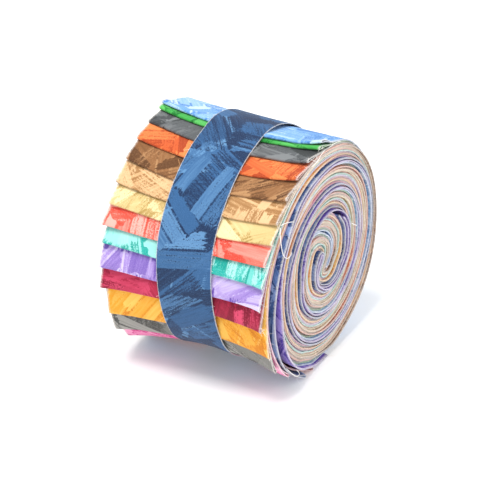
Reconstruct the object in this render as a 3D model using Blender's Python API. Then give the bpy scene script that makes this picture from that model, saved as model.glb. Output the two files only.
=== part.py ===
"""Rolled fabric strip bundle: folded cotton strips wound into one roll and tied with a band.

Run it with Blender 4.5, as blender --background --python part.py, or from the text editor.
Lengths are in millimetres here and become metres when a shape is made. +Z is up.
The roll's axis runs along X, the face that shows the spiral looks along +X, and the folded
strip ends step down the front, toward -Y. Angles are in degrees about the roll's axis:
0 is the top, and they grow down the front.
"""

import math
from collections import namedtuple

import bmesh
import bpy

METRES = 0.001

# Driving sizes
STRIP_WIDTH = 63.5
FOLD_RADIUS = 43.2
SHEET = 1.0
GAP = 0.3
AXIS_HEIGHT = 42.7

# The roll sags a little: narrower at the shoulders, wider low down
SAG_ONCE = -0.5
SAG_THRICE = 0.7

# Shingled strip ends
FOLD_SPACING = 11.0
LAP_STEP = SHEET + GAP
LAPPED_LAYERS = 2
SOFT_RIM = 9.0
ROLL_BLEND_ANGLE = -33.0
SHOULDER_GAP_ANGLE = 0.5
STEP_ANGLE = 0.01

# One row a strip, outermost first. Fold is the angle of its folded edge, shift is how far it
# stands out of line along X, and the flares are how far its corners curl away from the roll,
# near (at the spiral face) and far
Strip = namedtuple("Strip", "name fold shift near_flare far_flare colour")
STRIPS = [
    Strip("sky_blue", -2.4, -0.3, 0.3, 0.3, (0.42, 0.64, 0.90)),
    Strip("green", 0.1, 0.2, 0.3, 0.4, (0.03, 0.37, 0.07)),
    Strip("charcoal", 11.5, -0.2, 0.6, 0.5, (0.10, 0.11, 0.12)),
    Strip("rust", 22.7, 0.3, 0.9, 0.6, (0.69, 0.13, 0.03)),
    Strip("brown", 34.5, 0.1, 1.2, 0.7, (0.31, 0.15, 0.06)),
    Strip("tan", 46.3, -0.1, 0.7, 0.4, (0.68, 0.44, 0.23)),
    Strip("cream", 57.1, 0.4, 0.5, 0.8, (0.78, 0.64, 0.36)),
    Strip("coral", 67.1, -0.4, 0.8, 0.9, (0.88, 0.20, 0.15)),
    Strip("turquoise", 76.7, 0.2, 1.0, 0.5, (0.03, 0.55, 0.48)),
    Strip("lilac", 88.8, 0.0, 1.1, 0.6, (0.33, 0.23, 0.61)),
    Strip("crimson", 99.9, 0.5, 0.9, 0.4, (0.45, 0.04, 0.08)),
    Strip("gold", 116.1, -0.5, 1.2, 0.9, (0.90, 0.45, 0.05)),
    Strip("grey", 130.1, 0.2, 1.3, 0.8, (0.23, 0.23, 0.21)),
    Strip("pink", 144.5, -0.2, 1.2, 0.6, (0.79, 0.10, 0.36)),
    Strip("navy", 158.0, 0.1, 0.5, 0.3, (0.03, 0.09, 0.25)),
    Strip("red", 165.0, 0.0, 0.2, 0.1, (0.50, 0.05, 0.09)),
    Strip("purple", 172.0, -0.1, 0.0, 0.0, (0.25, 0.14, 0.52)),
]
ROLL_COLOUR = (0.62, 0.55, 0.50)
BAND_COLOUR = (0.05, 0.13, 0.32)
CLOTH_ROUGHNESS = 0.9

# Tie band
BAND_WIDTH = 21.5
BAND_BUMP = 1.2
BAND_BUMP_ANGLE = -3.0
BAND_BUMP_REACH = (34.0, 14.0)
BAND_CENTRE_TOP = 0.2
BAND_DRIFT = 5.2
BAND_DRIFTS_OUT = (50.0, 130.0)
BAND_DRIFTS_HOME = (200.0, 320.0)
BAND_LAP_START = -152.0
BAND_LAP_END = -122.0
BAND_LAP_RISE = (14.0, 2.0)

# Spiral of the turns on the end faces, in the plane across the roll: y to the back, z up,
# both from the roll's axis. A turn's radius grows by TURN_PITCH about SPIRAL_CENTRE
SPIRAL_CENTRE = (4.2, -2.0)
SPIRAL_START = 6.4
TURN_PITCH = 9.73
CORE_SWELL = 1.8
SWELL_GROWS = (140.0, 210.0)
SWELL_FADES = (400.0, 460.0)
SPIRAL_FROM = 168.0
SPIRAL_TO = 1216.0
GROOVE_WIDTH = 0.7
GROOVE_DEPTH = 1.5

# The S-shaped core: where the innermost strip folds back on itself, and where the outermost does
FacePoint = namedtuple("FacePoint", "y z")
INNER_HOOK = [
    FacePoint(-0.7, 1.4),
    FacePoint(-2.4, -0.7),
    FacePoint(-3.9, -3.4),
    FacePoint(-3.9, -6.6),
    FacePoint(-2.1, -10.1),
]
OUTER_HOOK = [
    FacePoint(4.3, -5.6),
    FacePoint(6.3, -3.4),
    FacePoint(8.0, -0.9),
    FacePoint(8.3, 2.6),
    FacePoint(6.0, 6.2),
    FacePoint(0.7, 10.0),
    FacePoint(-4.2, 11.6),
    FacePoint(-8.0, 11.5),
]

# How finely curves are followed
OUTLINE_STEP = 3.0
GROOVE_STEP = 7.5
SHEET_POINTS = 8
ROUND_POINTS = 4
HOOK_POINTS = 3
STRAIGHT_AREA = 0.0001
WELD = 0.01
SHARP_ANGLE = 30.0


def interpolate(value, low, high):
    """Smooth step from 0 at low to 1 at high."""
    share = min(1.0, max(0.0, (value - low) / (high - low)))
    return share * share * (3.0 - 2.0 * share)


def sag(angle):
    """How far the roll's surface lies from a true circle at an angle."""
    turn = math.radians(angle)
    return SAG_ONCE * math.cos(turn) + SAG_THRICE * math.cos(3.0 * turn)


def face_point(radius, angle):
    """The point across the roll at a radius and angle about the roll's axis."""
    turn = math.radians(angle)
    return FacePoint(-radius * math.sin(turn), radius * math.cos(turn))


def above_floor(radius, angle, height):
    """A radius cut short where it would come lower than a height over the floor."""
    drop = -math.cos(math.radians(angle))
    if drop <= 0.0:
        return radius
    return min(radius, (AXIS_HEIGHT - height) / drop)


def layers_ended(angle):
    """How many strips have ended above an angle, with fractions between two folds."""
    folds = [STRIPS[1].fold - FOLD_SPACING * back for back in (3, 2, 1)]
    folds += [strip.fold for strip in STRIPS[1:]]
    for place in range(len(folds) - 1):
        if angle <= folds[place + 1]:
            break
    return place - 1 + (angle - folds[place]) / (folds[place + 1] - folds[place])


def angle_of_layer(layer):
    """The angle at which a whole number of strips has ended."""
    if layer < 2:
        return STRIPS[1].fold - FOLD_SPACING * (2 - layer)
    return STRIPS[layer - 1].fold


def under_lap_lift(angle):
    """How far the roll rises to meet the outermost strip behind its end."""
    return LAPPED_LAYERS * LAP_STEP * interpolate(-angle, 0.0, -ROLL_BLEND_ANGLE)


def sheet_radius(number, angle):
    """Radius of the middle of a strip end, which climbs over the one under it."""
    lowest = FOLD_RADIUS - SHEET / 2.0 - LAPPED_LAYERS * LAP_STEP
    climb = LAP_STEP * (layers_ended(angle) - number + LAPPED_LAYERS)
    return lowest + climb + under_lap_lift(angle) + sag(angle)


def roll_radius(angle):
    """Radius of the wound roll's own surface, for an angle from -180 to 180."""
    last = len(STRIPS)
    if ROLL_BLEND_ANGLE <= angle <= STRIPS[-1].fold + SHOULDER_GAP_ANGLE:
        radius = FOLD_RADIUS - SHEET - GAP - LAPPED_LAYERS * LAP_STEP
        ended = layers_ended(min(angle, STRIPS[-1].fold))
        radius += LAP_STEP * max(0.0, ended - last + LAPPED_LAYERS)
        radius += under_lap_lift(angle)
    else:
        radius = FOLD_RADIUS
    return above_floor(radius + sag(angle), angle, 0.0)


def band_inner_radius(angle):
    """Radius of the inside of the band, which bulges over the two thick top folds."""
    before, after = BAND_BUMP_REACH
    reach = before if angle < BAND_BUMP_ANGLE else after
    bump = 1.0 - interpolate(abs(angle - BAND_BUMP_ANGLE), 0.0, reach)
    return FOLD_RADIUS + GAP + BAND_BUMP * bump + sag(angle)


def band_centre(angle):
    """How far along X the middle of the band lies: it runs askew under the roll."""
    around = angle % 360.0
    out = interpolate(around, *BAND_DRIFTS_OUT)
    home = interpolate(around, *BAND_DRIFTS_HOME)
    return BAND_CENTRE_TOP + BAND_DRIFT * (out - home)


def smooth_path(points, steps):
    """Points along a smooth curve through the given ones."""
    ends = [points[0]] + list(points) + [points[-1]]
    path = []
    for before, start, end, after in zip(ends, ends[1:], ends[2:], ends[3:]):
        for step in range(steps):
            t = step / steps
            values = []
            for a, b, c, d in zip(before, start, end, after):
                cubic = (3.0 * (b - c) + d - a) * t + 2.0 * a - 5.0 * b + 4.0 * c - d
                values.append(0.5 * ((cubic * t + c - a) * t + 2.0 * b))
            path.append(FacePoint(*values))
    path.append(FacePoint(*points[-1]))
    return path


def turn_path():
    """The line between two turns, from the core's inner hook out to the roll's surface."""
    path = smooth_path(INNER_HOOK, HOOK_POINTS)
    angle = SPIRAL_FROM
    while angle <= SPIRAL_TO:
        swell = interpolate(angle, *SWELL_GROWS) - interpolate(angle, *SWELL_FADES)
        radius = SPIRAL_START + TURN_PITCH * angle / 360.0 + CORE_SWELL * swell
        place = face_point(radius, angle)
        path.append(FacePoint(SPIRAL_CENTRE[0] + place.y, SPIRAL_CENTRE[1] + place.z))
        angle += GROOVE_STEP
    return path


def ribbon_outline(path, width):
    """Closed outline of a line of constant width along a path."""
    left = []
    right = []
    for place, point in enumerate(path):
        ahead = path[min(place + 1, len(path) - 1)]
        behind = path[max(place - 1, 0)]
        length = math.hypot(ahead.y - behind.y, ahead.z - behind.z)
        across = FacePoint(-(ahead.z - behind.z) / length, (ahead.y - behind.y) / length)
        half = width / 2.0
        left.append(FacePoint(point.y + across.y * half, point.z + across.z * half))
        right.append(FacePoint(point.y - across.y * half, point.z - across.z * half))
    return left + right[::-1]


def roll_outline():
    """Outline of the wound roll, with a step where the strip ends begin and stop."""
    breaks = [ROLL_BLEND_ANGLE, STRIPS[-1].fold + SHOULDER_GAP_ANGLE]
    outline = []
    for start, end in ((breaks[0], breaks[1]), (breaks[1], breaks[0] + 360.0)):
        count = round((end - start) / OUTLINE_STEP)
        for step in range(count + 1):
            angle = start + (end - start) * step / count
            if start == breaks[1]:
                angle = min(max(angle, start + STEP_ANGLE), end - STEP_ANGLE)
            if angle > 180.0:
                angle -= 360.0
            outline.append(face_point(roll_radius(angle), angle))
    return outline


def strip_end_outline(number):
    """Outline of a strip end: a bent sheet with a rounded fold at its free edge."""
    strip = STRIPS[number - 1]
    start = angle_of_layer(number - LAPPED_LAYERS)
    round_angle = math.degrees(SHEET / 2.0 / FOLD_RADIUS)
    end = strip.fold - round_angle
    inner = []
    outer = []
    for step in range(SHEET_POINTS):
        angle = start + (end - start) * step / (SHEET_POINTS - 1)
        middle = sheet_radius(number, angle)
        inner.append(face_point(middle - SHEET / 2.0, angle))
        outer.append(face_point(middle + SHEET / 2.0, angle))
    fold = []
    middle = sheet_radius(number, end)
    for step in range(1, ROUND_POINTS + 1):
        turn = math.pi * step / (ROUND_POINTS + 1)
        radius = middle - SHEET / 2.0 * math.cos(turn)
        fold.append(face_point(radius, end + round_angle * math.sin(turn)))
    return inner + fold + outer[::-1]


def band_outline():
    """Outline of the band: once round the roll, with its outer end lapped over its inner end."""
    inner = []
    outer = []
    lap = BAND_LAP_START + 360.0
    last = BAND_LAP_END + 360.0
    count = round((last - BAND_LAP_START) / OUTLINE_STEP)
    for step in range(count + 1):
        angle = BAND_LAP_START + (last - BAND_LAP_START) * step / count
        rise = LAP_STEP * interpolate(angle, lap - BAND_LAP_RISE[0], lap - BAND_LAP_RISE[1])
        wrapped = (angle + 180.0) % 360.0 - 180.0
        radius = band_inner_radius(wrapped) + rise
        inner.append(face_point(above_floor(radius, angle, SHEET), angle))
        outer.append(face_point(above_floor(radius + SHEET, angle, 0.0), angle))
    return inner + outer[::-1]


def without_straight_points(outline):
    """An outline with no point in the middle of a straight side."""
    kept = []
    for place, point in enumerate(outline):
        before = outline[place - 1]
        after = outline[(place + 1) % len(outline)]
        run = (after.y - before.y) * (point.z - before.z)
        rise = (after.z - before.z) * (point.y - before.y)
        if abs(run - rise) > STRAIGHT_AREA:
            kept.append(point)
    return kept


def cloth(name, colour):
    """A plain woven cloth material."""
    material = bpy.data.materials.new(name)
    material.use_nodes = True
    shader = material.node_tree.nodes["Principled BSDF"]
    shader.inputs["Base Color"].default_value = (*colour, 1.0)
    shader.inputs["Roughness"].default_value = CLOTH_ROUGHNESS
    shader.inputs["Metallic"].default_value = 0.0
    return material


def slab(name, outline, low, high, collection):
    """A mesh object with an outline across the roll, reaching from low to high along X."""
    outline = without_straight_points(outline)
    curve = bpy.data.curves.new(name, "CURVE")
    curve.dimensions = "2D"
    curve.fill_mode = "BOTH"
    curve.extrude = (high - low) / 2.0 * METRES
    line = curve.splines.new("POLY")
    line.points.add(len(outline) - 1)
    for point, corner in zip(line.points, outline):
        point.co = (corner.y * METRES, corner.z * METRES, 0.0, 1.0)
    line.use_cyclic_u = True
    drawn = bpy.data.objects.new(name + "_outline", curve)
    bpy.context.scene.collection.objects.link(drawn)
    depsgraph = bpy.context.evaluated_depsgraph_get()
    mesh = bpy.data.meshes.new_from_object(drawn.evaluated_get(depsgraph))
    bpy.data.objects.remove(drawn)
    mesh.name = name

    shape = bmesh.new()
    shape.from_mesh(mesh)
    bmesh.ops.remove_doubles(shape, verts=shape.verts, dist=WELD * METRES)
    for corner in shape.verts:
        across, up, along = corner.co
        middle = (low + high) / 2.0
        corner.co = (along + middle * METRES, across, up + AXIS_HEIGHT * METRES)
    bmesh.ops.recalc_face_normals(shape, faces=shape.faces)
    if shape.calc_volume(signed=True) < 0.0:
        bmesh.ops.reverse_faces(shape, faces=shape.faces)
    shape.to_mesh(mesh)
    shape.free()
    mesh.shade_smooth()
    mesh.set_sharp_from_angle(angle=math.radians(SHARP_ANGLE))
    piece = bpy.data.objects.new(name, mesh)
    collection.objects.link(piece)
    return piece


def cut(piece, cutter):
    """Take a cutter's shape out of a piece."""
    cutter.hide_render = True
    cutter.display_type = "WIRE"
    boolean = piece.modifiers.new("cut " + cutter.name, "BOOLEAN")
    boolean.operation = "DIFFERENCE"
    boolean.solver = "EXACT"
    boolean.object = cutter


def band_passage(name, collection):
    """A cutter for the flat recess under the roll where the band passes."""
    middle = band_centre(180.0)
    half = BAND_WIDTH / 2.0 + GAP
    top = -AXIS_HEIGHT + SHEET + GAP
    bottom = -FOLD_RADIUS - SHEET
    outline = [
        FacePoint(-FOLD_RADIUS, bottom),
        FacePoint(FOLD_RADIUS, bottom),
        FacePoint(FOLD_RADIUS, top),
        FacePoint(-FOLD_RADIUS, top),
    ]
    return slab(name, outline, middle - half, middle + half, collection)


def build_wound_roll(collection, cutters):
    """The roll itself, with the lines of its turns and of its core sunk in both faces."""
    half = STRIP_WIDTH / 2.0
    roll = slab("wound_roll", roll_outline(), -half, half, collection)
    roll.data.materials.append(cloth("wound cotton edges", ROLL_COLOUR))
    lines = {
        "turns": turn_path(),
        "core": smooth_path(OUTER_HOOK, HOOK_POINTS),
    }
    for line_name, path in lines.items():
        outline = ribbon_outline(path, GROOVE_WIDTH)
        for side, middle in (("near", half), ("far", -half)):
            low = middle - GROOVE_DEPTH
            high = middle + GROOVE_DEPTH
            cut(roll, slab(f"{line_name}_{side}", outline, low, high, cutters))
    cut(roll, band_passage("passage_roll", cutters))
    return roll


def curl_corners(piece, number):
    """Cut a strip end across near its rims, and curl those rims away from the roll."""
    strip = STRIPS[number - 1]
    half = STRIP_WIDTH / 2.0
    lapped = angle_of_layer(number - 1)
    shape = bmesh.new()
    shape.from_mesh(piece.data)
    for inset in (SOFT_RIM, SOFT_RIM / 2.0):
        for station in (inset - half, half - inset):
            everything = shape.verts[:] + shape.edges[:] + shape.faces[:]
            place = (station * METRES, 0.0, 0.0)
            bmesh.ops.bisect_plane(shape, geom=everything, plane_co=place, plane_no=(1, 0, 0))
    for corner in shape.verts:
        along = corner.co.x / METRES
        across = corner.co.y / METRES
        up = corner.co.z / METRES - AXIS_HEIGHT
        angle = math.degrees(math.atan2(-across, up))
        radius = math.hypot(across, up)
        reach = max(0.0, (abs(along) - half + SOFT_RIM) / SOFT_RIM)
        flare = strip.near_flare if along > 0.0 else strip.far_flare
        radius += flare * reach * reach * interpolate(angle, lapped, strip.fold)
        place = face_point(above_floor(radius, angle, 0.0), angle)
        corner.co.x = (along + strip.shift) * METRES
        corner.co.y = place.y * METRES
        corner.co.z = (place.z + AXIS_HEIGHT) * METRES
    shape.to_mesh(piece.data)
    shape.free()


def build_strip_end(number, collection, cutters):
    """One folded strip end; the lowest ones give way to the band."""
    strip = STRIPS[number - 1]
    half = STRIP_WIDTH / 2.0
    name = f"strip_end_{number:02d}"
    piece = slab(name, strip_end_outline(number), -half, half, collection)
    curl_corners(piece, number)
    piece.data.materials.append(cloth(strip.name.replace("_", " ") + " cotton", strip.colour))
    lowest = face_point(FOLD_RADIUS + sag(strip.fold), strip.fold).z
    if lowest < -AXIS_HEIGHT + SHEET + GAP:
        cut(piece, band_passage(f"passage_{number:02d}", cutters))
    return piece


def build_tie_band(collection):
    """The band round the roll, slanted along X where it passes under the front."""
    half = BAND_WIDTH / 2.0
    band = slab("tie_band", band_outline(), -half, half, collection)
    for corner in band.data.vertices:
        across = corner.co.y / METRES
        up = corner.co.z / METRES - AXIS_HEIGHT
        angle = math.degrees(math.atan2(-across, up))
        corner.co.x += band_centre(angle) * METRES
    band.data.materials.append(cloth("blue print cotton", BAND_COLOUR))
    return band


def main():
    """Clear the scene and build the bundle."""
    for old in list(bpy.data.objects):
        bpy.data.objects.remove(old)
    scene = bpy.context.scene
    collection = bpy.data.collections.new("rolled fabric strip bundle")
    cutters = bpy.data.collections.new("cutters")
    scene.collection.children.link(collection)
    scene.collection.children.link(cutters)
    build_wound_roll(collection, cutters)
    for number in range(1, len(STRIPS) + 1):
        build_strip_end(number, collection, cutters)
    build_tie_band(collection)


main()
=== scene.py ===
"""Looks of the rolled fabric strip bundle: folded cotton strips wound into a roll and tied.

Each strip is made as the real one is. A long ribbon of printed cotton is laid flat, folded in
half across with its print outside, laid with the others, and wound from its raw ends outward,
so that its fold ends as one of the shingles down the front. Then it gets its thickness.

Lengths are in millimetres and angles in degrees about the roll's axis: 0 is the top, and they
grow down the front. A place across the roll is given as y to the back and z up, from the axis.
Meshes are made in metres, in the frame of the solids.
"""

import math
import random
from collections import namedtuple

import bpy
import numpy as np
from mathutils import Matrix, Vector


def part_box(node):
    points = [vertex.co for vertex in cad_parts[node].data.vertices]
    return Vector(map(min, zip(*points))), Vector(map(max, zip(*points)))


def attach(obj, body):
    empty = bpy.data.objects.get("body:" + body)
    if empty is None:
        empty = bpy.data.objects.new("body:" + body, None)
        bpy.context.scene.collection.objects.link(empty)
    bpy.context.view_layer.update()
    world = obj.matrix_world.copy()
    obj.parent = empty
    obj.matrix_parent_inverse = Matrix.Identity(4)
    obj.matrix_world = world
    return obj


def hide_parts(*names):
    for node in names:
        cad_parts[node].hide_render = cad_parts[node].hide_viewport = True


bl_info = {
    "name": "Rolled fabric strip bundle",
    "version": (1, 0, 0),
    "blender": (4, 5, 0),
    "location": "View3D > Sidebar > Fabric",
    "description": "Winds folded cotton strips into a roll and ties it with a printed band",
    "category": "Add Mesh",
}

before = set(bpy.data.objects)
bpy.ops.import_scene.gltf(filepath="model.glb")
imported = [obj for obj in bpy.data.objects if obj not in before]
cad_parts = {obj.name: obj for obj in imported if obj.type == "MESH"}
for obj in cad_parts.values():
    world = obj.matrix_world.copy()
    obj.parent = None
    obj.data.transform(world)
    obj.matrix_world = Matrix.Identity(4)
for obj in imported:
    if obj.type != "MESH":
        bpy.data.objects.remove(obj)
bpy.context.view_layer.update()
ROLL_LOW, ROLL_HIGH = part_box("wound_roll")

MM = 0.001
BODY = "root"

# The roll, as the solids have it
STRIP_WIDTH = (ROLL_HIGH.x - ROLL_LOW.x) / MM
AXIS_HEIGHT = 42.7
FOLD_RADIUS = 43.2
SAG_ONCE = -0.5
SAG_THRICE = 0.7

# The cloth
CLOTH_THICKNESS = 0.26
CLOTH_FILL = 0.9
FOLD_PUFF = 0.5
PUFF_LENGTH = 6.5
PLY_REST = 0.15

# One row a strip, outermost first. Fold is the angle of its folded edge, shift is how far it
# stands out of line along X, and the flares are how far its corners curl away from the roll,
# near (at the spiral face) and far. Rim is how far its edge stands out of the spiral face in
# the turns. The three colours are its print, from ground to darkest
Strip = namedtuple("Strip", "name fold shift near_flare far_flare rim pale main deep")
STRIPS = [
    Strip("sky_blue", -2.4, -0.3, 1.9, 0.6, 0.7, "#C6DDF4", "#7BAEE4", "#477FC2"),
    Strip("green", 0.1, -0.3, 0.9, 0.6, -0.3, "#58B75B", "#27953A", "#0E6B25"),
    Strip("charcoal", 11.5, 0.0, 1.3, -0.4, -0.5, "#777A7C", "#505356", "#2E3133"),
    Strip("rust", 22.7, 0.1, 1.1, 0.2, 0.45, "#E5854A", "#C9582B", "#A33D1A"),
    Strip("brown", 34.5, 0.1, 1.5, 0.4, 0.3, "#AD8259", "#875C38", "#583820"),
    Strip("tan", 46.3, -0.2, 0.9, 0.7, 0.35, "#DDB88B", "#C69C6E", "#9A6F43"),
    Strip("cream", 57.1, 0.0, 0.8, 1.3, 0.0, "#E6D3A4", "#D0B87F", "#A68648"),
    Strip("coral", 67.1, -0.6, 1.1, 1.9, -0.5, "#F2A89D", "#EE6B5C", "#E04434"),
    Strip("turquoise", 76.7, 0.1, 1.3, 0.9, 0.0, "#A3DBD6", "#37BCB2", "#0C958A"),
    Strip("lilac", 88.8, -0.3, 1.4, 0.3, -0.3, "#CFC3E6", "#9C83C8", "#6347A4"),
    Strip("crimson", 99.9, 0.0, 1.2, 0.6, -0.3, "#CC4465", "#A3203F", "#780D29"),
    Strip("gold", 116.1, 1.5, 0.6, 0.2, 0.15, "#F0C35F", "#E59A22", "#CC7410"),
    Strip("grey", 130.1, 0.7, 0.8, 0.5, -0.4, "#9C9B96", "#6E6E6A", "#3F3F3D"),
    Strip("pink", 144.5, 1.3, -0.3, 0.6, -0.4, "#EFA3C6", "#E24F98", "#C4267A"),
    Strip("navy", 163.0, 0.1, 0.9, 0.4, 1.0, "#8299C8", "#35568F", "#1B3466"),
    Strip("red", 172.0, 0.0, 0.3, 0.2, -0.3, "#D85A68", "#B02636", "#801226"),
    Strip("purple", 186.0, -0.1, 0.2, 0.1, 1.4, "#A793D8", "#6B4DB8", "#3F2492"),
]
COUNT = len(STRIPS)
BAND_PRINT = ("#628FBA", "#2F5885", "#13284A")
BAND_STROKES = 1.15
BAND_DARKNESS = 0.22
BAND_FRAY = 0.3
STRIP_FRAY = 0.8
PALE_THREAD = "#E6E1DC"
WRONG_SIDE_PALE = 0.5

# How the strips lie under each other at the front
FOLD_SPACING = 11.0
LAP_STEP = 1.3
FIRST_DEPTH = 0.38
LAST_DEPTH = 0.3
LAP_FADE = 1.2
MOST_LOOSE = 1.5
SHINGLES_FROM = -38.0
SHINGLES_FULL = -2.0

# Spiral of the turns: a turn's radius grows by TURN_PITCH about SPIRAL_CENTRE
SPIRAL_CENTRE = np.array([4.2, -2.0])
SPIRAL_START = 6.4
TURN_PITCH = 9.73
CORE_SWELL = 1.8
SWELL_GROWS = (140.0, 210.0)
SWELL_FADES = (400.0, 460.0)
SPIRAL_FROM = 168.0
OUTER_TURN_FROM = 872.0
OUTER_TURN_BLEND = 72.0
SPIRAL_TO = 1232.0
FRONT_TURNS = 3
TURN_GAP = 0.12
LINE_GIVES_WAY = (150.0, 158.0)
LAST_END_STEP = 8.0

# The S-shaped core, from the arm that runs out into the turns to the wedge where the raw ends
# lie. A rung crosses the bundle from its inner face, the innermost strip's, to its outer face
Rung = namedtuple("Rung", "inner outer")
CORE = [
    Rung((1.7, -13.3), (-0.1, -22.2)),
    Rung((-2.1, -10.1), (-8.1, -17.7)),
    Rung((-3.7, -7.5), (-13.0, -10.8)),
    Rung((-4.2, -4.5), (-14.7, -3.7)),
    Rung((-3.8, -2.2), (-14.1, 2.3)),
    Rung((-2.6, -0.2), (-12.1, 8.2)),
    Rung((-1.4, 1.0), (-9.0, 11.4)),
    Rung((-0.7, 1.5), (-3.8, 11.5)),
    Rung((-0.1, 1.3), (0.7, 10.0)),
    Rung((0.1, 0.7), (6.0, 6.0)),
    Rung((-0.3, -0.5), (8.3, 2.4)),
    Rung((-1.8, -2.3), (8.0, -1.1)),
    Rung((-3.2, -4.5), (6.1, -3.4)),
    Rung((-3.6, -7.0), (4.6, -5.4)),
    Rung((-2.0, -10.5), (4.3, -5.7)),
    Rung((1.9, -12.9), (4.5, -5.75)),
    Rung((6.2, -14.3), (4.9, -5.6)),
    Rung((11.2, -13.4), (5.6, -5.0)),
    Rung((14.8, -10.2), (6.6, -3.5)),
    Rung((18.2, -6.3), (7.6, -2.1)),
    Rung((19.2, -0.9), (8.4, -0.6)),
    Rung((18.4, 4.5), (8.8, 1.4)),
    Rung((15.4, 9.3), (8.3, 3.4)),
    Rung((9.5, 13.4), (6.4, 6.5)),
    Rung((4.4, 15.3), (3.6, 8.9)),
    Rung((-0.1, 15.4), (0.6, 10.6)),
    Rung((-5.3, 14.0), (-4.0, 12.0)),
    Rung((-9.0, 11.8), (-7.5, 11.9)),
]
RUNG_STEPS = 4
RUNG_TURNING = 9.0
WEDGE_FROM = 22
WEDGE_BLEND = 3
WEDGE_STRIP = 0.54

# How far strips stand out at the near face along part of the outer turn
Reach = namedtuple("Reach", "strip start full stop gone out")
REACHES = [
    Reach(1, -196.0, -165.0, -45.0, -14.0, -1.3),
    Reach(2, -196.0, -165.0, -40.0, -16.0, -0.9),
    Reach(3, -196.0, -165.0, -40.0, -16.0, -0.3),
    Reach(4, -196.0, -165.0, -40.0, -16.0, -1.1),
    Reach(5, -196.0, -165.0, -40.0, -16.0, 0.6),
    Reach(15, 20.0, 55.0, 200.0, 210.0, 1.2),
    Reach(16, 150.0, 170.0, 200.0, 210.0, 0.6),
    Reach(17, 30.0, 110.0, 150.0, 215.0, 2.0),
]
RIMS_LEVEL = (-48.0, -14.0)

# How finely the cloth is laid
TURN_STEP = 5.0
FRONT_STEP = 2.5
TIP_CLEAR = 1.2
FOLD_POINTS = 7
COLUMNS = np.array([-1.0, -0.972, -0.88, -0.72, -0.5, -0.25, 0.0, 0.25, 0.5, 0.72, 0.88, 0.972, 1.0])

# Unevenness
LOOSENESS = 0.38
LOOSE_WAVES = ((0.9, 1.0), (2.3, 0.8), (6.1, 0.7))
DRIFT = 0.65
DRIFT_WAVES = ((0.31, 0.8), (0.83, 0.8), (2.3, 0.7), (5.7, 0.45))
RUFFLE = 0.16
SOFT_RIM = 9.0
PRESS_DEPTH = 4.0

# How far the band squeezes the roll's middle in, at angles about the axis
Squeeze = namedtuple("Squeeze", "angle depth")
SQUEEZES = [
    Squeeze(-180.0, 0.0),
    Squeeze(-150.0, 1.0),
    Squeeze(-60.0, 0.8),
    Squeeze(0.0, 0.6),
    Squeeze(60.0, 0.7),
    Squeeze(100.0, 2.2),
    Squeeze(127.0, 3.1),
    Squeeze(142.0, 4.8),
    Squeeze(153.0, 4.6),
    Squeeze(177.0, 0.0),
    Squeeze(180.0, 0.0),
]
SQUEEZE_SMOOTHING = np.array([-8.0, -4.0, 0.0, 4.0, 8.0])
SQUEEZE_DEPTH = 10.0

# How far it draws the folds there down the front, in degrees
DRAW = 4.6
DRAW_FADES = (20.0, 105.0)
DRAW_FROM = (-60.0, -12.0)
DRAW_ACROSS = 33.0
DRAW_POWER = 1.5
SLIP = 0.6

# Tie band
BAND_WIDTH = 21.6
BAND_THICKNESS = 0.32
BAND_LIFT = 0.42
BAND_BUMP = 0.85
BAND_BUMP_ANGLE = -3.0
BAND_BUMP_REACH = (34.0, 14.0)
BAND_CENTRE_TOP = -0.5
BAND_DRIFT = 3.1
BAND_DRIFTS_OUT = (60.0, 120.0)
BAND_DRIFTS_HOME = (200.0, 320.0)
BAND_LAP_START = -152.0
BAND_LAP_END = -122.0
BAND_LAP_LIFT = 0.6
BAND_LAP_RISE = (14.0, 2.0)
BAND_STEP = 3.0
BAND_COLUMNS = np.array([-1.0, -0.95, -0.8, -0.5, -0.2, 0.2, 0.5, 0.8, 0.95, 1.0])

# Loose threads, as places from the axis: along X, back and up
Thread = namedtuple("Thread", "thickness route")
THREADS = [
    Thread(0.24, [(33.2, -31.6, 29.7), (33.6, -28.7, 29.2), (33.8, -25.4, 28.0), (33.2, -22.1, 26.1)]),
    Thread(0.26, [(33.0, -31.8, 28.8), (33.8, -33.3, 26.4), (34.2, -33.2, 22.8), (34.2, -31.8, 18.3),
                  (34.0, -28.7, 15.3), (33.8, -25.7, 14.7), (33.1, -23.6, 14.8)]),
    Thread(0.3, [(33.0, 21.3, 3.5), (33.8, 23.4, 1.7), (33.0, 25.5, 0.5)]),
    Thread(0.28, [(33.0, -27.0, -30.4), (34.4, -24.8, -33.6), (34.6, -22.1, -35.9), (34.2, -19.4, -36.4),
                  (33.4, -19.9, -34.7)]),
    Thread(0.14, [(-32.0, 2.6, 43.4), (-33.2, 0.5, 43.6), (-33.2, 0.3, 41.9), (-32.2, 2.5, 39.8)]),
    Thread(0.14, [(-32.0, -39.0, 19.3), (-33.6, -42.2, 19.6), (-34.0, -44.4, 18.8)]),
    Thread(0.18, [(33.0, -9.0, 41.3), (34.0, -6.5, 42.6), (33.6, -3.0, 43.4), (33.0, 0.5, 43.0)]),
    Thread(0.16, [(33.0, 4.0, 42.6), (34.2, 7.5, 43.3), (33.8, 11.0, 41.6)]),
]

# Fuzz of the raw edges, from places on a strip's rim
Fuzz = namedtuple("Fuzz", "side count longest")
FUZZ_THICKNESS = 0.07
FUZZ_ON_FRONT = (Fuzz(0, 15, 2.6), Fuzz(-1, 12, 2.0))
FUZZ_IN_TURNS = (Fuzz(0, 12, 1.6), Fuzz(-1, 20, 1.8))
FUZZ_ON_BAND = (Fuzz(0, 110, 0.9), Fuzz(-1, 110, 0.9))
FUZZ_SHOWN_FROM = 16.0
FUZZ_POINTS = 5

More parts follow.
